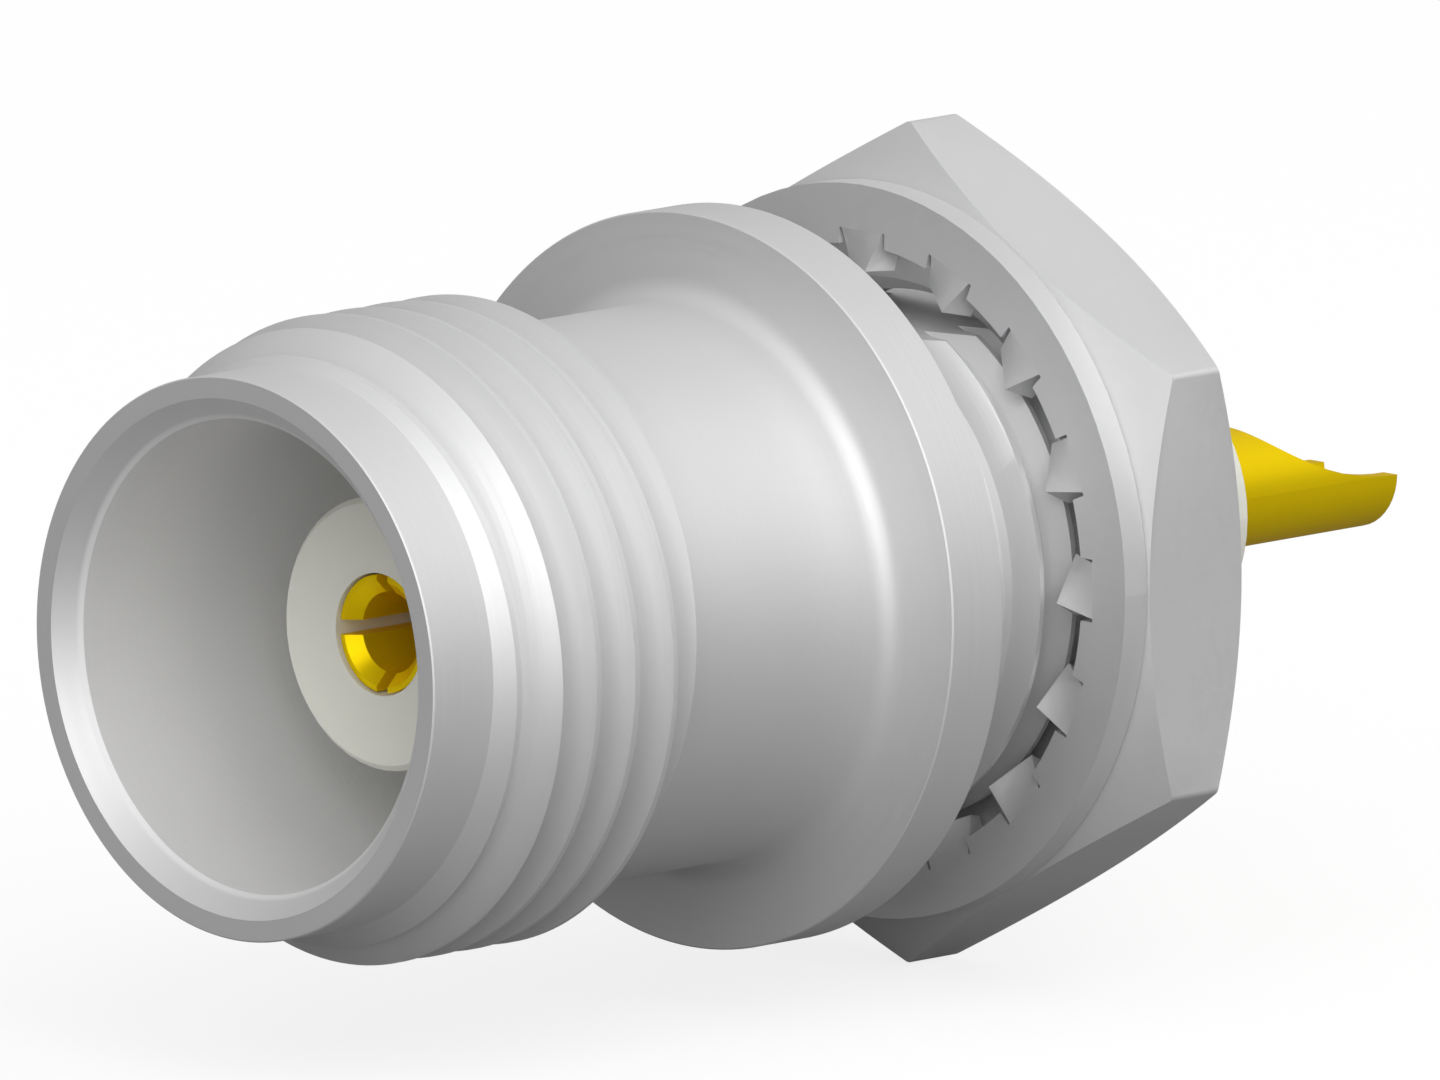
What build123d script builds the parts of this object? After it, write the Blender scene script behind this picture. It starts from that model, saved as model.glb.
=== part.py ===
from build123d import *
import math
import os

# Bulkhead coaxial jack with a threaded coupling and a solder cup. All sizes are millimetres.
# The axis is Y: the mouth faces -Y and the solder cup points to +Y. The origin lies on the
# axis at the rear face of the flange, the face that seats on the panel. +Z is the side of
# the flat on the rear thread. Both threads are plain cylinders of their major diameter.

# Outside of the shell, in front of the panel. Depths are counted from the mouth.
MOUTH_TO_SEAT = 12.04
LEAD_DIA = 9.65
LEAD_LENGTH = 1.40
COUPLING_THREAD_DIA = 11.06
COUPLING_THREAD_DEPTH = 5.75
COUPLING_CONE_ANGLE = 34.0
NECK_DIA = 9.62
NECK_FILLET = 0.45
FLANGE_DIA = 12.70
FLANGE_THICK = 1.21
EDGE_BREAK = 0.08

# Cavity that takes the plug, and the bore behind it.
CAVITY_DIA = 8.12
CAVITY_CHAMFER = 0.39
CAVITY_DEPTH = 8.40
SHOULDER_DIA = 6.20
SHOULDER_THICK = 0.80
SHELL_BORE_DIA = 7.00

# Outside of the shell, behind the panel. Lengths are counted from the seat.
UNDERCUT_DIA = 8.50
REAR_THREAD_START = 2.48
REAR_THREAD_DIA = 9.42
REAR_CONE_ANGLE = 45.0
REAR_LENGTH = 6.80
REAR_CHAMFER = 0.35
FLAT_HEIGHT = 4.00

# Insulators. The nose of the front one stands free in the cavity.
NOSE_DEPTH = 3.43
NOSE_DIA = 4.70
REAR_NOSE_DIA = 4.90
REAR_NOSE_LENGTH = 3.16
INSULATOR_BREAK = 0.10
CONTACT_CLEARANCE = 0.04

# Ring pressed into the rear of the shell, which holds the insulators and the contact.
RING_LENGTH = 1.00
RING_RECESS = 0.24
RING_NOSE_CLEARANCE = 0.05
RING_CHAMFER = 0.20

# Centre contact: a slotted socket, a collar held between the insulators, a solder cup.
SOCKET_SETBACK = 0.07
SOCKET_DIA = 2.03
PIN_BORE_DIA = 1.40
PIN_BORE_DEPTH = 6.00
SOCKET_LEAD_IN = 0.22
SLOT_WIDTH = 0.26
SLOT_LENGTH = 5.00
COLLAR_DEPTH = 13.40
COLLAR_DIA = 3.40
COLLAR_THICK = 1.00
CUP_DIA = 2.11
CUP_BORE_DIA = 1.44
CUP_BORE_DEPTH = 3.80
CUP_LENGTH = 5.00
SCOOP_RADIUS = 5.00
SCOOP_BELOW_AXIS = 0.03
DRILL_POINT_ANGLE = 118.0

# Lock washer with twisted teeth on its inside.
WASHER_DIA = 12.70
WASHER_BORE_DIA = 10.62
WASHER_THICK = 0.53
WASHER_FRONT = 2.94
TOOTH_COUNT = 16
TOOTH_ROOT_DIA = 11.12
TOOTH_TIP_DIA = 9.80
TOOTH_ROOT_WIDTH = 0.97
TOOTH_TIP_WIDTH = 0.93
TOOTH_TWIST = 30.0
TOOTH_ROOT_DEPTH = 0.15
NOTCH_GAP = 0.06

# Hexagon nut behind the washer.
NUT_ACROSS_FLATS = 12.70
NUT_THICK = 2.29
NUT_FACE_DIA = 12.60
NUT_CHAMFER_ANGLE = 30.0
NUT_SINK_ANGLE = 20.0
NUT_GAP = 0.03
THREAD_CLEARANCE = 0.05

# Places along the axis that follow from the sizes above.
MOUTH = -MOUTH_TO_SEAT
SHOULDER = MOUTH + CAVITY_DEPTH
COLLAR = MOUTH + COLLAR_DEPTH
RING_REAR = REAR_LENGTH - RING_RECESS
RING_FRONT = RING_REAR - RING_LENGTH
REAR_NOSE_END = REAR_LENGTH + REAR_NOSE_LENGTH
CUP_END = REAR_NOSE_END + CUP_LENGTH
NUT_FRONT = WASHER_FRONT + WASHER_THICK + NUT_GAP
NUT_REAR = NUT_FRONT + NUT_THICK

# How far a cut runs past the face that it starts from.
OVERRUN = 1.0


def turned(*points):
    """Solid turned about the Y axis from an outline of (radius, place along Y) points."""
    return revolve(make_face(Polyline(*points, close=True)), axis=Axis.Y)


def rim(solid, diameter, place):
    """Round edges of this diameter at this place along the axis."""
    near = 0.001
    return solid.edges().filter_by(GeomType.CIRCLE).filter_by(
        lambda edge: abs(2 * edge.radius - diameter) < near
        and abs(edge.arc_center.Y - place) < near
    )


def cone_length(small_dia, large_dia, angle):
    """Length along the axis of a cone whose side leans this angle away from the axis."""
    return (large_dia - small_dia) / 2 / math.tan(math.radians(angle))


def drilled(diameter, mouth, depth, way):
    """Blind drilled hole with a pointed end; way is 1 to drill towards +Y, -1 towards -Y."""
    point = diameter / 2 / math.tan(math.radians(DRILL_POINT_ANGLE / 2))
    return turned(
        (0, mouth - way * OVERRUN),
        (diameter / 2, mouth - way * OVERRUN),
        (diameter / 2, mouth + way * depth),
        (0, mouth + way * (depth + point)),
    )


def shell_outside():
    """Lead, coupling thread, neck and flange, then the undercut and the rear thread."""
    lead_end = MOUTH + LEAD_LENGTH
    thread_start = lead_end + cone_length(LEAD_DIA, COUPLING_THREAD_DIA, COUPLING_CONE_ANGLE)
    thread_end = MOUTH + COUPLING_THREAD_DEPTH
    rear_cone = REAR_THREAD_START - cone_length(UNDERCUT_DIA, REAR_THREAD_DIA, REAR_CONE_ANGLE)
    body = turned(
        (0, MOUTH),
        (LEAD_DIA / 2, MOUTH),
        (LEAD_DIA / 2, lead_end),
        (COUPLING_THREAD_DIA / 2, thread_start),
        (COUPLING_THREAD_DIA / 2, thread_end),
        (NECK_DIA / 2, thread_end),
        (NECK_DIA / 2, -FLANGE_THICK),
        (FLANGE_DIA / 2, -FLANGE_THICK),
        (FLANGE_DIA / 2, 0),
        (UNDERCUT_DIA / 2, 0),
        (UNDERCUT_DIA / 2, rear_cone),
        (REAR_THREAD_DIA / 2, REAR_THREAD_START),
        (REAR_THREAD_DIA / 2, REAR_LENGTH),
        (0, REAR_LENGTH),
    )
    body = fillet(rim(body, NECK_DIA, -FLANGE_THICK), NECK_FILLET)
    body = chamfer(rim(body, REAR_THREAD_DIA, REAR_LENGTH), REAR_CHAMFER)
    broken = (
        rim(body, LEAD_DIA, MOUTH)
        + rim(body, COUPLING_THREAD_DIA, thread_end)
        + rim(body, FLANGE_DIA, -FLANGE_THICK)
        + rim(body, FLANGE_DIA, 0)
    )
    return chamfer(broken, EDGE_BREAK)


def shell_inside():
    """Cavity for the plug, the shoulder it stops on, and the bore that holds the insulators."""
    mouth_dia = CAVITY_DIA + 2 * CAVITY_CHAMFER
    bore_start = SHOULDER + SHOULDER_THICK
    return turned(
        (0, MOUTH - OVERRUN),
        (mouth_dia / 2, MOUTH - OVERRUN),
        (mouth_dia / 2, MOUTH),
        (CAVITY_DIA / 2, MOUTH + CAVITY_CHAMFER),
        (CAVITY_DIA / 2, SHOULDER),
        (SHOULDER_DIA / 2, SHOULDER),
        (SHOULDER_DIA / 2, bore_start),
        (SHELL_BORE_DIA / 2, bore_start),
        (SHELL_BORE_DIA / 2, REAR_LENGTH + OVERRUN),
        (0, REAR_LENGTH + OVERRUN),
    )


def shell():
    """Turned body with the flat that keeps it from turning in a D-shaped panel hole."""
    rear = REAR_LENGTH + OVERRUN
    removed = Pos(0, rear / 2, FLAT_HEIGHT + FLANGE_DIA / 2) * Box(FLANGE_DIA, rear, FLANGE_DIA)
    return shell_outside() - shell_inside() - removed


def front_insulator():
    """Bead with a free nose, a step through the shoulder and a body in the shell's bore."""
    nose = MOUTH + NOSE_DEPTH
    hole_dia = SOCKET_DIA + 2 * CONTACT_CLEARANCE
    bead = turned(
        (hole_dia / 2, nose),
        (NOSE_DIA / 2, nose),
        (NOSE_DIA / 2, SHOULDER),
        (SHOULDER_DIA / 2, SHOULDER),
        (SHOULDER_DIA / 2, SHOULDER + SHOULDER_THICK),
        (SHELL_BORE_DIA / 2, SHOULDER + SHOULDER_THICK),
        (SHELL_BORE_DIA / 2, COLLAR),
        (hole_dia / 2, COLLAR),
    )
    return chamfer(rim(bead, NOSE_DIA, nose), INSULATOR_BREAK)


def rear_insulator():
    """Bead with a pocket for the contact's collar and a nose through the ring."""
    hole_dia = CUP_DIA + 2 * CONTACT_CLEARANCE
    pocket_dia = COLLAR_DIA + 2 * CONTACT_CLEARANCE
    bead = turned(
        (pocket_dia / 2, COLLAR),
        (SHELL_BORE_DIA / 2, COLLAR),
        (SHELL_BORE_DIA / 2, RING_FRONT),
        (REAR_NOSE_DIA / 2, RING_FRONT),
        (REAR_NOSE_DIA / 2, REAR_NOSE_END),
        (hole_dia / 2, REAR_NOSE_END),
        (hole_dia / 2, COLLAR + COLLAR_THICK),
        (pocket_dia / 2, COLLAR + COLLAR_THICK),
    )
    return chamfer(rim(bead, REAR_NOSE_DIA, REAR_NOSE_END), INSULATOR_BREAK)


def retaining_ring():
    """Plain ring, pressed in behind the rear insulator's step."""
    hole_dia = REAR_NOSE_DIA + 2 * RING_NOSE_CLEARANCE
    ring = turned(
        (hole_dia / 2, RING_FRONT),
        (SHELL_BORE_DIA / 2, RING_FRONT),
        (SHELL_BORE_DIA / 2, RING_REAR),
        (hole_dia / 2, RING_REAR),
    )
    return chamfer(rim(ring, hole_dia, RING_REAR), RING_CHAMFER)


def contact_socket():
    """What is cut from the front end: the pin's bore with its lead-in, and four slots."""
    tip = MOUTH + NOSE_DEPTH + SOCKET_SETBACK
    bore = drilled(PIN_BORE_DIA, tip, PIN_BORE_DEPTH, 1)
    lead_in = turned(
        (0, tip - OVERRUN),
        (PIN_BORE_DIA / 2 + SOCKET_LEAD_IN, tip - OVERRUN),
        (PIN_BORE_DIA / 2 + SOCKET_LEAD_IN, tip),
        (PIN_BORE_DIA / 2, tip + SOCKET_LEAD_IN),
        (0, tip + SOCKET_LEAD_IN),
    )
    run = SLOT_LENGTH + OVERRUN
    across = SOCKET_DIA + OVERRUN
    slots = Pos(0, tip - OVERRUN + run / 2, 0) * (
        Box(SLOT_WIDTH, run, across) + Box(across, run, SLOT_WIDTH)
    )
    return bore + lead_in + slots


def contact_cup():
    """What is cut from the rear end: the wire's bore, and the scoop that opens it upwards."""
    bore = drilled(CUP_BORE_DIA, CUP_END, CUP_BORE_DEPTH, -1)
    scoop_height = SCOOP_RADIUS - SCOOP_BELOW_AXIS
    scoop = Pos(0, CUP_END, scoop_height) * Rot(0, 90, 0) * Cylinder(SCOOP_RADIUS, 2 * CUP_DIA)
    return bore + scoop


def centre_contact():
    """One turned piece from the socket, through the collar, to the solder cup."""
    tip = MOUTH + NOSE_DEPTH + SOCKET_SETBACK
    stem = turned(
        (0, tip),
        (SOCKET_DIA / 2, tip),
        (SOCKET_DIA / 2, COLLAR),
        (COLLAR_DIA / 2, COLLAR),
        (COLLAR_DIA / 2, COLLAR + COLLAR_THICK),
        (CUP_DIA / 2, COLLAR + COLLAR_THICK),
        (CUP_DIA / 2, CUP_END),
        (0, CUP_END),
    )
    return stem - contact_socket() - contact_cup()


def tooth_section(angle, diameter, width, twist):
    """Section across one tooth, turned about the tooth's own radial line."""
    radial = Vector(math.cos(angle), 0, math.sin(angle))
    tangent = Vector(-math.sin(angle), 0, math.cos(angle))
    across = tangent * math.cos(twist) + Vector(0, 1, 0) * math.sin(twist)
    middle = radial * (diameter / 2) + Vector(0, WASHER_FRONT + WASHER_THICK / 2, 0)
    plane = Plane(origin=middle, x_dir=across, z_dir=radial)
    return plane * Rectangle(width, WASHER_THICK)


def washer_tooth(angle):
    """Tooth that is flat where it leaves the ring and twists towards its tip."""
    embedded = TOOTH_ROOT_DIA + 2 * TOOTH_ROOT_DEPTH
    base = tooth_section(angle, embedded, TOOTH_ROOT_WIDTH, 0)
    root = tooth_section(angle, TOOTH_ROOT_DIA, TOOTH_ROOT_WIDTH, 0)
    tip = tooth_section(angle, TOOTH_TIP_DIA, TOOTH_TIP_WIDTH, math.radians(TOOTH_TWIST))
    return loft([base, root], ruled=True) + loft([root, tip], ruled=True)


def lock_washer():
    """Ring with a notch at each tooth, and the twisted teeth standing in from it."""
    middle = WASHER_FRONT + WASHER_THICK / 2
    turn_in = Rot(90, 0, 0)
    ring = turn_in * (Cylinder(WASHER_DIA / 2, WASHER_THICK)
                      - Cylinder(WASHER_BORE_DIA / 2, 2 * WASHER_THICK))
    notch_width = TOOTH_ROOT_WIDTH + 2 * NOTCH_GAP
    angles = [step * 2 * math.pi / TOOTH_COUNT for step in range(TOOTH_COUNT)]
    notches = [
        Rot(0, -math.degrees(angle), 0)
        * Pos(TOOTH_ROOT_DIA / 4, 0, 0)
        * Box(TOOTH_ROOT_DIA / 2, 2 * WASHER_THICK, notch_width)
        for angle in angles
    ]
    ring = Pos(0, middle, 0) * (ring - notches)
    return ring + [washer_tooth(angle) for angle in angles]


def nut_envelope():
    """Round blank whose bevelled ends cut back the corners of the hexagon."""
    corner_dia = NUT_ACROSS_FLATS / math.cos(math.pi / 6) + OVERRUN
    drop = (corner_dia - NUT_FACE_DIA) / 2 * math.tan(math.radians(NUT_CHAMFER_ANGLE))
    return turned(
        (0, NUT_FRONT),
        (NUT_FACE_DIA / 2, NUT_FRONT),
        (corner_dia / 2, NUT_FRONT + drop),
        (corner_dia / 2, NUT_REAR - drop),
        (NUT_FACE_DIA / 2, NUT_REAR),
        (0, NUT_REAR),
    )


def nut_bore():
    """Threaded hole, sunk at both ends from where the washer's teeth begin to twist."""
    hole_dia = REAR_THREAD_DIA + 2 * THREAD_CLEARANCE
    sink = (TOOTH_ROOT_DIA - hole_dia) / 2 * math.tan(math.radians(NUT_SINK_ANGLE))
    return turned(
        (0, NUT_FRONT),
        (TOOTH_ROOT_DIA / 2, NUT_FRONT),
        (hole_dia / 2, NUT_FRONT + sink),
        (hole_dia / 2, NUT_REAR - sink),
        (TOOTH_ROOT_DIA / 2, NUT_REAR),
        (0, NUT_REAR),
    )


def hex_nut():
    """Thin hexagon nut with two corners on the Z axis."""
    front = Plane(origin=(0, NUT_FRONT, 0), x_dir=(0, 0, 1), z_dir=(0, 1, 0))
    corner_radius = NUT_ACROSS_FLATS / 2 / math.cos(math.pi / 6)
    blank = extrude(front * RegularPolygon(corner_radius, 6), NUT_THICK)
    return (blank & nut_envelope()) - nut_bore()


os.makedirs("parts", exist_ok=True)
for name, piece in {
    "shell": shell(),
    "front_insulator": front_insulator(),
    "rear_insulator": rear_insulator(),
    "retaining_ring": retaining_ring(),
    "centre_contact": centre_contact(),
    "lock_washer": lock_washer(),
    "hex_nut": hex_nut(),
}.items():
    export_step(piece, f"parts/{name}.step")
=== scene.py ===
"""Looks of a threaded coaxial bulkhead jack: shell and nut with real threads, finishes, stage."""

import math

import bmesh
import bpy
from mathutils import Matrix, Vector


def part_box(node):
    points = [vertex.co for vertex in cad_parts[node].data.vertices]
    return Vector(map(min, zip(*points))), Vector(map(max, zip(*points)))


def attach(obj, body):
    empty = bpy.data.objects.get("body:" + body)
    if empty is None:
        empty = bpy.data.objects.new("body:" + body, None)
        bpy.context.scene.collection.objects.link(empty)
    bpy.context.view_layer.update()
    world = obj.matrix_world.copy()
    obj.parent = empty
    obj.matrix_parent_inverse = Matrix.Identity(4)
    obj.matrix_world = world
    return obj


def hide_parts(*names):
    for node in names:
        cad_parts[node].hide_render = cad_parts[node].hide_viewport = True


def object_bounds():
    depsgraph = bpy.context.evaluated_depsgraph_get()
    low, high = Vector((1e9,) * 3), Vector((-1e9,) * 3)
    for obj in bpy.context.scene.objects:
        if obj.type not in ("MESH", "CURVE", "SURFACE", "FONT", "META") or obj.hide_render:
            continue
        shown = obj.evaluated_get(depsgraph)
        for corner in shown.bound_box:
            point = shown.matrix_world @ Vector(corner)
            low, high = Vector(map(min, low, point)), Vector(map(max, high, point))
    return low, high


bl_info = {
    "name": "Threaded coaxial jack",
    "version": (1, 0, 0),
    "blender": (4, 5, 0),
    "location": "View3D > Sidebar > Jack",
    "description": "Turned shell, threads, nut, washer and finishes of a coaxial panel jack",
    "category": "Object",
}

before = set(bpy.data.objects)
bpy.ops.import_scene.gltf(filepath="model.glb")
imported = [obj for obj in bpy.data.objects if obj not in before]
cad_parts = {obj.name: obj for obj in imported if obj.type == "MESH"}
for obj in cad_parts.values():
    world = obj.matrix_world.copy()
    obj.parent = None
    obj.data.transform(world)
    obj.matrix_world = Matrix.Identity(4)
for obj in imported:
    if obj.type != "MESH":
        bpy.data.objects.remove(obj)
cad_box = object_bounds()

AXIS = Vector((0, 1, 0))
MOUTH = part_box("shell")[0].y
SHELL_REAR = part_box("shell")[1].y
NUT_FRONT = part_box("hex_nut")[0].y
NUT_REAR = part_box("hex_nut")[1].y

# A unified thread: flanks of 60 degrees, and a flat of an eighth of the pitch on the crests.
FLANK = math.tan(math.radians(30))
CREST_HALF = 1 / 16
GROOVE_HALF = 1 / 2 - CREST_HALF

# A point on a crest of each thread: metres behind the mouth, and angle from +X towards +Z.
COUPLING_CREST = (0.00312, math.radians(40))
REAR_CREST = (0.015325, math.radians(45))

# Each groove: turns back from that point to its start, pitches beside the crest, and turns
# in all. The rear one starts out of sight, in the undercut, so that the nut can pass.
COUPLING_GROOVE = (3, 1 / 2, 7)
REAR_GROOVE = (13 / 9, -1 / 2, 7.5)
NUT_GROOVE = (1, 0, 5.5)

# How far a cutter stands out of the metal that it cuts.
OVERRUN = 0.00006

# Steps of a turned circle, of one turn of a thread and of the neck's quarter round.
ROUND_STEPS = 160
THREAD_STEPS = 96
FILLET_STEPS = 8

# Distance over which the cavity's painted light fades into the plain finish.
FADE = 0.00005

# Share of a tool's marks that shows across a face, beside those along a wall.
FACING = 0.7

# Lamps: name, azimuth and elevation in degrees, side in metres, power in watts.
LAMPS = (
    ("front", 43, 22, 0.85, 4.1),
    ("side", 98, 42, 0.90, 2.3),
)
LAMP_DISTANCE = 0.8
LAMP_TARGET = Vector((0, 0.001, 0))

# Camera: the point that it looks at, its azimuth and elevation in degrees, and the width
# that it shows.
LOOK_AT = Vector((0.005442, -0.005873, 0.001968))
SEEN_FROM = (45.22, 10.03)
SEEN_WIDTH = 0.02433

# The floor: its gap under the jack, its half side, and its own glow, which the lamps' light
# on it makes up to white.
FLOOR_GAP = 0.00005
FLOOR_REACH = 3.0
FLOOR_GLOW = 0.81


def length(name, description, default):
    """A length that a user may change, in metres."""
    return bpy.props.FloatProperty(
        name=name, description=description, default=default, min=0.0, precision=5,
        subtype="DISTANCE", unit="LENGTH",
    )


def slope(name, description, degrees):
    """An angle that a user may change."""
    return bpy.props.FloatProperty(
        name=name, description=description, default=math.radians(degrees), min=0.0,
        subtype="ANGLE", unit="ROTATION",
    )


def colour(name, description, default):
    """A finish's base colour."""
    return bpy.props.FloatVectorProperty(
        name=name, description=description, default=default, min=0.0, max=1.0,
        size=3, subtype="COLOR",
    )


class ShellSizes(bpy.types.PropertyGroup):
    """Sizes of the turned shell, in metres."""

    lead_radius: length("Lead radius", "Plain lead in front of the coupling thread", 0.004825)
    lead_length: length("Lead length", "From the mouth to the foot of the thread's cone", 0.00140)
    mouth_radius: length("Mouth radius", "Wide end of the mouth's inner chamfer", 0.00445)
    cavity_radius: length("Cavity radius", "Inside of the mouth, where the plug enters", 0.00406)
    cavity_depth: length("Cavity depth", "From the mouth to the inner shoulder", 0.00840)
    shoulder_radius: length("Shoulder radius", "Hole through the inner shoulder", 0.00310)
    shoulder_length: length("Shoulder length", "Thickness of the inner shoulder", 0.00080)
    bore_radius: length("Bore radius", "Bore that holds the insulators", 0.00350)
    coupling_radius: length("Coupling radius", "Crest of the coupling thread", 0.00553)
    coupling_cone: length("Coupling cone", "Length of the cone up to the crest", 0.0010452)
    coupling_end: length("Coupling end", "From the mouth to the thread's rear end", 0.00575)
    coupling_pitch: length("Coupling pitch", "28 turns to the inch", 0.0254 / 28)
    coupling_root: length("Coupling root radius", "Root of the coupling thread", 0.004975)
    neck_radius: length("Neck radius", "Plain neck between thread and flange", 0.00481)
    neck_fillet: length("Neck fillet", "Rounding where the neck meets the flange", 0.00045)
    flange_radius: length("Flange radius", "Rim of the panel flange", 0.00635)
    flange_length: length("Flange thickness", "Thickness of the panel flange", 0.00121)
    undercut_radius: length("Undercut radius", "Plain turning behind the flange", 0.00425)
    undercut_end: length("Undercut end", "From the seat to the foot of the rear cone", 0.00202)
    rear_radius: length("Rear thread radius", "Crest of the rear thread", 0.00471)
    rear_start: length("Rear thread start", "From the seat to the first full crest", 0.00248)
    rear_pitch: length("Rear pitch", "32 turns to the inch", 0.0254 / 32)
    rear_root: length("Rear root radius", "Root of the rear thread", 0.00428)
    rear_chamfer: length("Rear chamfer", "Bevel at the shell's rear end", 0.00035)
    flat_height: length("Flat height", "From the axis to the flat on the rear thread", 0.00400)
    edge_break: length("Edge break", "Small bevel on the outer edges", 0.000025)


class NutSizes(bpy.types.PropertyGroup):
    """Sizes of the hexagon nut, in metres."""

    half_flats: length("Half across flats", "From the axis to a flat", 0.00635)
    face_radius: length("Face radius", "Round face left by the corner bevels", 0.00630)
    sink_radius: length("Sink radius", "Wide end of the countersinks", 0.00556)
    hole_radius: length("Hole radius", "Crest of the nut's own thread", 0.00437)
    groove_radius: length("Groove radius", "Root of the nut's own thread", 0.00476)
    bevel_angle: slope("Bevel angle", "Between the corner bevels and the faces", 30)
    sink_angle: slope("Sink angle", "Between the countersinks and the faces", 20)
    corner_break: length("Corner break", "Rounding along the six corners", 0.00007)
    play: length("Play", "Room beside each flank of the shell's thread", 0.00003)


class FinishColours(bpy.types.PropertyGroup):
    """Base colours of the finishes and the stage."""

    nickel: colour("Nickel plate", "Satin nickel on turned and stamped parts", (0.74, 0.74, 0.745))
    gold: colour("Gold plate", "Bright gold on the centre contact", (1.0, 0.72, 0.004))
    ptfe: colour("PTFE", "Waxy white plastic of the insulators", (0.87, 0.865, 0.78))
    floor: colour("Floor", "Pale floor under the jack", (0.22, 0.22, 0.22))


def outline(bm, points):
    """Closed outline of (radius, place along the axis) points in the plane of X and Y."""
    corners = [bm.verts.new((radius, place, 0)) for radius, place in points]
    return [bm.edges.new(pair) for pair in zip(corners, corners[1:] + corners[:1])]


def turn(points):
    """Closed solid turned about the Y axis from an outline that doesn't touch the axis."""
    bm = bmesh.new()
    edges = outline(bm, points)
    bmesh.ops.spin(
        bm, geom=bm.verts[:] + edges, cent=(0, 0, 0), axis=AXIS, dvec=(0, 0, 0),
        angle=math.tau, steps=ROUND_STEPS, use_merge=True, use_normal_flip=False,
        use_duplicate=False,
    )
    bmesh.ops.remove_doubles(bm, verts=bm.verts, dist=1e-7)
    bmesh.ops.recalc_face_normals(bm, faces=bm.faces)
    return bm


def groove(inner, outer, inner_half, outer_half, pitch, crest, run):
    """Closed cutter for a right-handed thread: a tapered section carried along a helix."""
    place, angle = crest
    back, beside, turns = run
    start = MOUTH + place + pitch * (beside - back)
    bm = bmesh.new()
    face = bm.faces.new([
        bm.verts.new((inner, start - inner_half, 0)),
        bm.verts.new((outer, start - outer_half, 0)),
        bm.verts.new((outer, start + outer_half, 0)),
        bm.verts.new((inner, start + inner_half, 0)),
    ])
    turned_back = Matrix.Rotation(-angle - back * math.tau, 4, AXIS)
    bmesh.ops.transform(bm, matrix=turned_back, verts=bm.verts)
    bmesh.ops.spin(
        bm, geom=[face], cent=(0, 0, 0), axis=AXIS, dvec=(0, pitch / THREAD_STEPS, 0),
        angle=turns * math.tau, steps=int(turns * THREAD_STEPS), use_merge=False,
        use_normal_flip=False, use_duplicate=False,
    )
    bmesh.ops.recalc_face_normals(bm, faces=bm.faces)
    return bm


def shell_groove(root, top, pitch, crest, run):
    """Cutter for an outer thread, from its root radius to a little outside its top."""
    half = pitch * GROOVE_HALF
    return groove(
        root, top + OVERRUN, half - (top - root) * FLANK, half + OVERRUN * FLANK,
        pitch, crest, run,
    )


def as_object(bm, name):
    """Object at the origin that holds this mesh."""
    mesh = bpy.data.meshes.new(name)
    bm.to_mesh(mesh)
    bm.free()
    made = bpy.data.objects.new(name, mesh)
    bpy.context.scene.collection.objects.link(made)
    return made


def cut(body, bm, operation="DIFFERENCE"):
    """Applies one exact Boolean with this mesh to body."""
    cutter = as_object(bm, "cutter")
    step = body.modifiers.new("cut", "BOOLEAN")
    step.operation = operation
    step.solver = "EXACT"
    step.object = cutter
    graph = bpy.context.evaluated_depsgraph_get()
    shaped = bpy.data.meshes.new_from_object(body.evaluated_get(graph))
    body.modifiers.clear()
    old, body.data = body.data, shaped
    used = cutter.data
    bpy.data.objects.remove(cutter)
    bpy.data.meshes.remove(used)
    bpy.data.meshes.remove(old)
    if not shaped.polygons:
        raise RuntimeError(f"the cut left nothing of {body.name}")


def shade(piece, limit=28):
    """Smooth faces that meet under this angle in degrees; sharper edges stay crisp."""
    bm = bmesh.new()
    bm.from_mesh(piece.data)
    bmesh.ops.remove_doubles(bm, verts=bm.verts, dist=2e-7)
    bmesh.ops.recalc_face_normals(bm, faces=bm.faces)
    for face in bm.faces:
        face.smooth = True
    for edge in bm.edges:
        edge.smooth = len(edge.link_faces) == 2 and edge.calc_face_angle() < math.radians(limit)
    bm.to_mesh(piece.data)
    bm.free()


def wear(piece, finish):
    """Gives the piece its finish."""
    piece.data.materials.clear()
    piece.data.materials.append(finish)


def settle(piece, body, node, finish):
    """Gives a new piece its finish and its body, and hides the CAD node that it replaces."""
    wear(piece, finish)
    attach(piece, body)
    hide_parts(node)


class Wire:
    """One socket of a shader, so that sums and products read as plain expressions."""

    def __init__(self, shop, socket):
        self.shop = shop
        self.socket = socket

    def beside(self, name):
        """Another output of the same node."""
        return Wire(self.shop, self.socket.node.outputs[name])

    def _math(self, operation, *values):
        return self.shop.node("ShaderNodeMath", {"operation": operation}, dict(enumerate(values)))

    def __add__(self, other):
        return self._math("ADD", self, other)

    __radd__ = __add__

    def __sub__(self, other):
        return self._math("SUBTRACT", self, other)

    def __rsub__(self, other):
        return self._math("SUBTRACT", other, self)

    def __mul__(self, other):
        return self._math("MULTIPLY", self, other)

    __rmul__ = __mul__

    def __pow__(self, other):
        return self._math("POWER", self, other)

    def clamp(self):
        """The value held between 0 and 1."""
        return self.shop.node("ShaderNodeClamp", {}, {"Value": self})

    def under(self, limit):
        """1 up to this limit, and 0 a little past it."""
        return ((limit + 2 * FADE - self) * (1 / FADE)).clamp()


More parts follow.
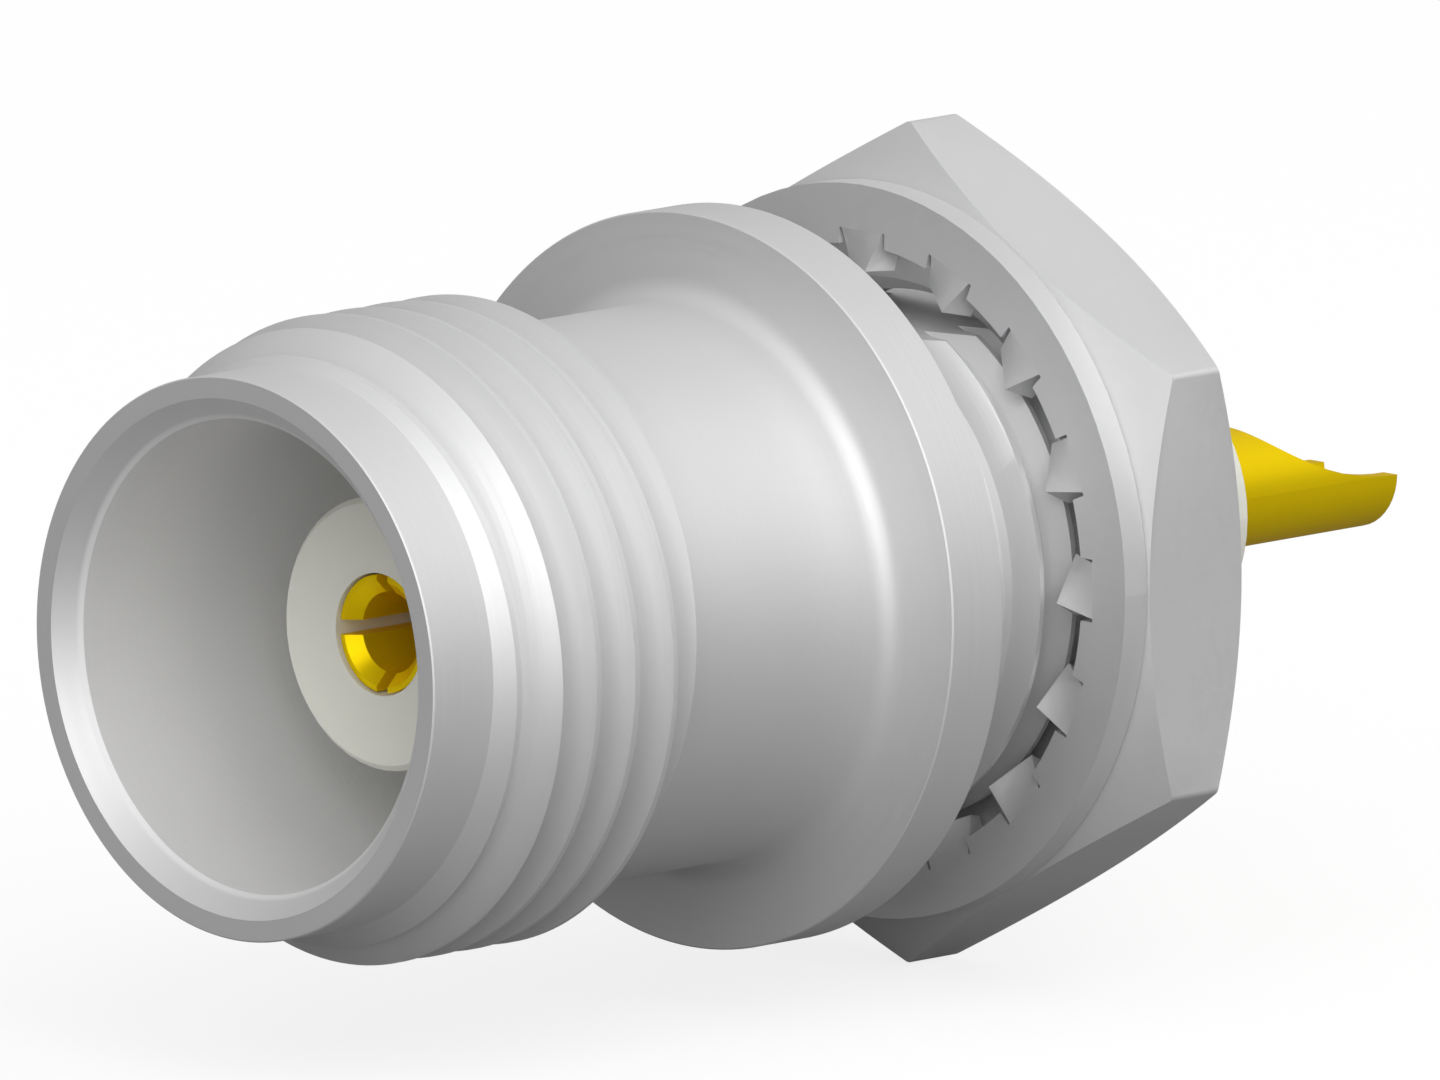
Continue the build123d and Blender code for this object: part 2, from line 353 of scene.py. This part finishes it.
class Shop:
    """Builds the nodes of one material or world."""

    def __init__(self, tree):
        self.tree = tree
        tree.nodes.clear()

    def node(self, kind, settings, inputs, output=0):
        """Adds a node: its settings first, then the values or links of its sockets."""
        made = self.tree.nodes.new(kind)
        for key, value in settings.items():
            setattr(made, key, value)
        for key, value in inputs.items():
            if isinstance(value, Wire):
                self.tree.links.new(value.socket, made.inputs[key])
            else:
                made.inputs[key].default_value = value
        return Wire(self, made.outputs[output]) if len(made.outputs) else None

    def place(self):
        """The point in the object's own space, its radius and its place along the axis."""
        point = self.node("ShaderNodeTexCoord", {}, {}, "Object")
        parts = self.node("ShaderNodeSeparateXYZ", {}, {0: point})
        x, y, z = [parts.beside(name) for name in "XYZ"]
        return point, (x * x + z * z) ** 0.5, y

    def noise(self, point, scale, detail=2.0):
        """Cloudy noise from 0 to 1."""
        return self.node(
            "ShaderNodeTexNoise", {"noise_dimensions": "3D"},
            {"Vector": point, "Scale": scale, "Detail": detail, "Roughness": 0.5},
        )

    def turning(self, radius, along, scale, detail=2.0):
        """Marks of a cutting tool, which run round the axis."""
        return self.node(
            "ShaderNodeTexNoise", {"noise_dimensions": "1D"},
            {"W": along + radius * FACING, "Scale": scale, "Detail": detail, "Roughness": 0.6},
        )

    def mix(self, factor, rgb, low, high):
        """This colour between two gains, such as a little darker and a little lighter."""
        return self.node(
            "ShaderNodeMix", {"data_type": "RGBA", "blend_type": "MIX"},
            {"Factor": factor, 6: opaque(rgb, low), 7: opaque(rgb, high)}, 2,
        )

    def bump(self, height, strength, depth):
        """Fine relief of this depth in metres."""
        return self.node(
            "ShaderNodeBump", {}, {"Height": height, "Strength": strength, "Distance": depth}
        )

    def light_path(self):
        """Rays from the camera, and rays that gloss or clear stuff sends on."""
        seen = self.node("ShaderNodeLightPath", {}, {}, "Is Camera Ray")
        return seen, seen.beside("Is Glossy Ray") + seen.beside("Is Transmission Ray")

    def finish(self, inputs):
        """The surface shader and the material's output."""
        surface = self.node("ShaderNodeBsdfPrincipled", {}, inputs)
        self.node("ShaderNodeOutputMaterial", {}, {"Surface": surface})


def opaque(rgb, gain=1.0):
    """Colour with its alpha, made lighter or darker by gain."""
    return (*[min(1.0, part * gain) for part in rgb], 1.0)


def new_material(name):
    """Empty material and the shop that fills it."""
    material = bpy.data.materials.new(name)
    material.use_nodes = True
    return material, Shop(material.node_tree)


def turned_nickel():
    """Satin nickel over fine turning marks, with painted light in the cavity: paler and less
    metallic there, standing in for light that the deep cavity keeps out.
    """
    material, shop = new_material("turned_nickel")
    rgb = bpy.context.scene.jack_finish.nickel
    sizes = bpy.context.scene.jack_shell
    point, radius, y = shop.place()
    marks = shop.turning(radius, y, 9000.0, 3.0)
    cloud = shop.noise(point, 320.0, 3.0)
    # Painted light: a mask of the cavity behind the mouth, where the nickel is made paler, less
    # metallic and a little rougher, in place of light that doesn't reach so deep.
    cavity_painted_light = radius.under(sizes.cavity_radius) * y.under(MOUTH + sizes.cavity_depth)
    shop.finish({
        # Random cloudy tone, plus the cavity's painted light.
        "Base Color": shop.mix(cloud * 0.3 + cavity_painted_light * 0.7, rgb, 0.97, 1.17),
        "Metallic": 0.65 - cavity_painted_light * 0.25,
        "Roughness": 0.46 + marks * 0.12 + cloud * 0.06 + cavity_painted_light * 0.06,
        "Normal": shop.bump(marks, 0.5, 0.000005),
    })
    return material


def stamped_nickel():
    """Nickel on stamped spring steel, with a faint tumbled grain."""
    material, shop = new_material("stamped_nickel")
    rgb = bpy.context.scene.jack_finish.nickel
    point, _, _ = shop.place()
    cloud = shop.noise(point, 500.0, 3.0)
    grain = shop.noise(point, 6000.0)
    shop.finish({
        "Base Color": shop.mix(cloud, rgb, 0.95, 1.03),
        "Metallic": 0.65,
        "Roughness": 0.48 + grain * 0.14,
        "Normal": shop.bump(grain, 0.4, 0.000006),
    })
    return material


def contact_gold():
    """Bright gold with faint turning marks."""
    material, shop = new_material("contact_gold")
    rgb = bpy.context.scene.jack_finish.gold
    point, radius, y = shop.place()
    marks = shop.turning(radius, y, 9000.0)
    cloud = shop.noise(point, 600.0)
    shop.finish({
        "Base Color": shop.mix(cloud, rgb, 0.96, 1.0),
        "Metallic": 0.55,
        "Specular IOR Level": 0.2,
        "Specular Tint": (1.0, 0.7, 0.1, 1.0),
        "Roughness": 0.33 + marks * 0.08,
        "Normal": shop.bump(marks, 0.2, 0.000003),
    })
    return material


def waxy_ptfe():
    """White PTFE: soft, slightly see-through, with faint turning marks."""
    material, shop = new_material("waxy_ptfe")
    rgb = bpy.context.scene.jack_finish.ptfe
    point, radius, y = shop.place()
    marks = shop.turning(radius, y, 7000.0)
    cloud = shop.noise(point, 700.0, 3.0)
    shop.finish({
        "Base Color": shop.mix(cloud, rgb, 0.97, 1.02),
        "Roughness": 0.42 + marks * 0.08,
        "Subsurface Weight": 0.15,
        "Subsurface Radius": (1.0, 0.9, 0.8),
        "Subsurface Scale": 0.0004,
        "Normal": shop.bump(marks, 0.25, 0.000005),
    })
    return material


def pale_floor():
    """Pale floor that shows white to the camera and keeps the jack's soft shadow."""
    material, shop = new_material("pale_floor")
    rgb = bpy.context.scene.jack_finish.floor
    matt = shop.node("ShaderNodeBsdfDiffuse", {}, {"Color": opaque(rgb)})
    seen, mirrored = shop.light_path()
    glow = shop.node("ShaderNodeEmission", {}, {
        "Color": (1, 1, 1, 1),
        "Strength": (seen + mirrored * 0.05) * FLOOR_GLOW,
    })
    both = shop.node("ShaderNodeAddShader", {}, {0: matt, 1: glow})
    shop.node("ShaderNodeOutputMaterial", {}, {"Surface": both})
    return material


def made_once(maker):
    """The finish that this function makes, which several parts share."""
    return bpy.data.materials.get(maker.__name__) or maker()


class JACK_OT_shell(bpy.types.Operator):
    """Turn the shell, cut both threads and mill the flat"""

    bl_idname = "jack.shell"
    bl_label = "Threaded shell"

    def fillet(self, s):
        """Quarter round from the neck up the front of the flange."""
        radius = s.neck_radius + s.neck_fillet
        place = -s.flange_length - s.neck_fillet
        angles = [math.pi - step * math.pi / 2 / FILLET_STEPS for step in range(FILLET_STEPS + 1)]
        return [
            (radius + s.neck_fillet * math.cos(angle), place + s.neck_fillet * math.sin(angle))
            for angle in angles
        ]

    def profile(self, s):
        """Outline of the turned shell: the outside, then back through the bore."""
        lead_end = MOUTH + s.lead_length
        thread_end = MOUTH + s.coupling_end
        shoulder = MOUTH + s.cavity_depth
        edge = s.edge_break
        return [
            (s.mouth_radius, MOUTH),
            (s.lead_radius - edge, MOUTH),
            (s.lead_radius, MOUTH + edge),
            (s.lead_radius, lead_end),
            (s.coupling_radius, lead_end + s.coupling_cone),
            (s.coupling_radius, thread_end - edge),
            (s.coupling_radius - edge, thread_end),
            (s.neck_radius, thread_end),
            *self.fillet(s),
            (s.flange_radius - edge, -s.flange_length),
            (s.flange_radius, edge - s.flange_length),
            (s.flange_radius, -edge),
            (s.flange_radius - edge, 0),
            (s.undercut_radius, 0),
            (s.undercut_radius, s.undercut_end),
            (s.rear_radius, s.rear_start),
            (s.rear_radius, SHELL_REAR - s.rear_chamfer),
            (s.rear_radius - s.rear_chamfer, SHELL_REAR),
            (s.bore_radius, SHELL_REAR),
            (s.bore_radius, shoulder + s.shoulder_length),
            (s.shoulder_radius, shoulder + s.shoulder_length),
            (s.shoulder_radius, shoulder),
            (s.cavity_radius, shoulder),
            (s.cavity_radius, MOUTH + s.mouth_radius - s.cavity_radius),
        ]

    def execute(self, context):
        s = context.scene.jack_shell
        piece = as_object(turn(self.profile(s)), "shell_threaded")
        cut(piece, shell_groove(
            s.coupling_root, s.coupling_radius, s.coupling_pitch, COUPLING_CREST, COUPLING_GROOVE,
        ))
        cut(piece, shell_groove(
            s.rear_root, s.rear_radius, s.rear_pitch, REAR_CREST, REAR_GROOVE,
        ))
        side = 0.02
        block = bmesh.new()
        bmesh.ops.create_cube(block, size=side)
        bmesh.ops.translate(block, vec=(0, side / 2, s.flat_height + side / 2), verts=block.verts)
        cut(piece, block)
        shade(piece)
        settle(piece, "jack_body", "shell", made_once(turned_nickel))
        return {"FINISHED"}


class JACK_OT_nut(bpy.types.Operator):
    """Make the hexagon nut with bevelled ends, countersinks and its own thread"""

    bl_idname = "jack.nut"
    bl_label = "Hexagon nut"

    def hexagon(self, s, corner):
        """Hexagon bar round the axis, with two corners on Z and rounded corner edges."""
        thick = NUT_REAR - NUT_FRONT
        bm = bmesh.new()
        bmesh.ops.create_cone(
            bm, cap_ends=True, cap_tris=False, segments=6,
            radius1=corner, radius2=corner, depth=thick,
        )
        upright = [
            edge for edge in bm.edges
            if abs(edge.verts[0].co.z - edge.verts[1].co.z) > thick / 2
        ]
        bmesh.ops.bevel(
            bm, geom=upright, offset=s.corner_break, offset_type="OFFSET", segments=3,
            profile=0.5, affect="EDGES", material=-1,
        )
        middle = Matrix.Translation((0, (NUT_REAR + NUT_FRONT) / 2, 0))
        bmesh.ops.transform(
            bm, matrix=middle @ Matrix.Rotation(math.pi / 2, 4, "X"), verts=bm.verts,
        )
        return bm

    def envelope(self, s, reach):
        """Ring whose bevelled ends cut back the corners, with the hole and its countersinks."""
        drop = (reach - s.face_radius) * math.tan(s.bevel_angle)
        sink = (s.sink_radius - s.hole_radius) * math.tan(s.sink_angle)
        return turn([
            (s.sink_radius, NUT_FRONT),
            (s.face_radius, NUT_FRONT),
            (reach, NUT_FRONT + drop),
            (reach, NUT_REAR - drop),
            (s.face_radius, NUT_REAR),
            (s.sink_radius, NUT_REAR),
            (s.hole_radius, NUT_REAR - sink),
            (s.hole_radius, NUT_FRONT + sink),
        ])

    def execute(self, context):
        s, shell = context.scene.jack_nut, context.scene.jack_shell
        corner = s.half_flats / math.cos(math.pi / 6)
        past_corner = corner + 0.0005
        piece = as_object(self.hexagon(s, corner), "nut_threaded")
        cut(piece, self.envelope(s, past_corner), "INTERSECT")
        inner = s.hole_radius - OVERRUN
        half = shell.rear_pitch * CREST_HALF + s.play
        cut(piece, groove(
            inner, s.groove_radius,
            half + (shell.rear_radius - inner) * FLANK,
            half - (s.groove_radius - shell.rear_radius) * FLANK,
            shell.rear_pitch, REAR_CREST, NUT_GROOVE,
        ))
        shade(piece)
        settle(piece, "nut", "hex_nut", made_once(stamped_nickel))
        return {"FINISHED"}


class JACK_OT_kept(bpy.types.Operator):
    """Finish the parts whose solids are right as they are"""

    bl_idname = "jack.kept"
    bl_label = "Insulators, contact, ring and washer"

    def execute(self, context):
        for node, slot, maker in (
            ("front_insulator", "ptfe", waxy_ptfe),
            ("rear_insulator", "ptfe", waxy_ptfe),
            ("centre_contact", "gold_plate", contact_gold),
            ("retaining_ring", "nickel_plate", turned_nickel),
            ("lock_washer", "nickel_plate", stamped_nickel),
        ):
            wear(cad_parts[node], made_once(maker))
        return {"FINISHED"}


class JACK_OT_stage(bpy.types.Operator):
    """Lay the floor, hang the lamps and set the camera"""

    bl_idname = "jack.stage"
    bl_label = "Stage"

    def towards(self, azimuth, elevation):
        """Unit vector to this azimuth, counted from the mouth's side to +X, and elevation."""
        a, e = math.radians(azimuth), math.radians(elevation)
        return Vector((math.sin(a) * math.cos(e), -math.cos(a) * math.cos(e), math.sin(e)))

    def floor(self):
        """Plain floor just under the jack."""
        bm = bmesh.new()
        bmesh.ops.create_grid(bm, x_segments=1, y_segments=1, size=FLOOR_REACH)
        bmesh.ops.translate(bm, vec=(0, 0, cad_box[0].z - FLOOR_GAP), verts=bm.verts)
        floor = as_object(bm, "floor")
        floor.data.materials.append(pale_floor())

    def lamp(self, name, way, size, power):
        """Soft square lamp in this direction, which looks at the jack."""
        data = bpy.data.lights.new(name, "AREA")
        data.shape = "SQUARE"
        data.size = size
        data.energy = power
        made = bpy.data.objects.new(name, data)
        bpy.context.scene.collection.objects.link(made)
        made.location = way * LAMP_DISTANCE
        aim = LAMP_TARGET - made.location
        made.rotation_euler = aim.to_track_quat("-Z", "Y").to_euler()
        made.visible_camera = False

    def world(self):
        """White to the camera; to the rest a pale room, lighter above and to the right."""
        world = bpy.data.worlds.new("pale_room")
        bpy.context.scene.world = world
        world.use_nodes = True
        shop = Shop(world.node_tree)
        seen, mirrored = shop.light_path()
        white = seen + mirrored * 0.2
        way = shop.node("ShaderNodeTexCoord", {}, {}, "Generated")
        parts = shop.node("ShaderNodeSeparateXYZ", {}, {0: way})
        from_above = parts.beside("Z").clamp() * 0.66
        from_right = parts.beside("X").clamp() * 0.30
        room = from_above + from_right + 0.03
        back = shop.node("ShaderNodeBackground", {}, {
            "Color": (1, 1, 1, 1),
            "Strength": room + white * (1.0 - room),
        })
        shop.node("ShaderNodeOutputWorld", {}, {"Surface": back})

    def camera(self):
        """Long lens at the photograph's viewing angle."""
        back = self.towards(*SEEN_FROM)
        data = bpy.data.cameras.new("camera")
        data.lens = 1200
        data.sensor_width = 36
        data.clip_start, data.clip_end = 0.05, 10
        camera = bpy.data.objects.new("camera", data)
        bpy.context.scene.collection.objects.link(camera)
        camera.location = LOOK_AT + back * (SEEN_WIDTH * data.lens / data.sensor_width)
        camera.rotation_euler = (-back).to_track_quat("-Z", "Y").to_euler()
        bpy.context.scene.camera = camera

    def execute(self, context):
        self.floor()
        self.world()
        for name, azimuth, elevation, size, power in LAMPS:
            self.lamp(name, self.towards(azimuth, elevation), size, power)
        self.camera()
        context.scene.view_settings.view_transform = "Standard"
        return {"FINISHED"}


class JACK_PT_parts(bpy.types.Panel):
    """Sizes and steps of the jack"""

    bl_idname = "JACK_PT_parts"
    bl_label = "Coaxial jack"
    bl_space_type = "VIEW_3D"
    bl_region_type = "UI"
    bl_category = "Jack"

    def draw(self, context):
        for step in STEPS:
            self.layout.operator(step.bl_idname)
        for name in GROUPS:
            box = self.layout.box()
            group = getattr(context.scene, name)
            for key in group.bl_rna.properties.keys():
                if key not in ("rna_type", "name"):
                    box.prop(group, key)


STEPS = (JACK_OT_stage, JACK_OT_shell, JACK_OT_nut, JACK_OT_kept)
GROUPS = {"jack_shell": ShellSizes, "jack_nut": NutSizes, "jack_finish": FinishColours}


def register():
    """Registers the sizes, the steps and the panel."""
    for name, group in GROUPS.items():
        bpy.utils.register_class(group)
        setattr(bpy.types.Scene, name, bpy.props.PointerProperty(type=group))
    for step in (*STEPS, JACK_PT_parts):
        bpy.utils.register_class(step)


def unregister():
    """Takes away what register() added."""
    for step in (JACK_PT_parts, *reversed(STEPS)):
        bpy.utils.unregister_class(step)
    for name, group in reversed(GROUPS.items()):
        delattr(bpy.types.Scene, name)
        bpy.utils.unregister_class(group)


def main():
    """Makes every piece and the stage."""
    register()
    bpy.ops.jack.stage()
    bpy.ops.jack.shell()
    bpy.ops.jack.nut()
    bpy.ops.jack.kept()


if __name__ == "__main__":
    main()
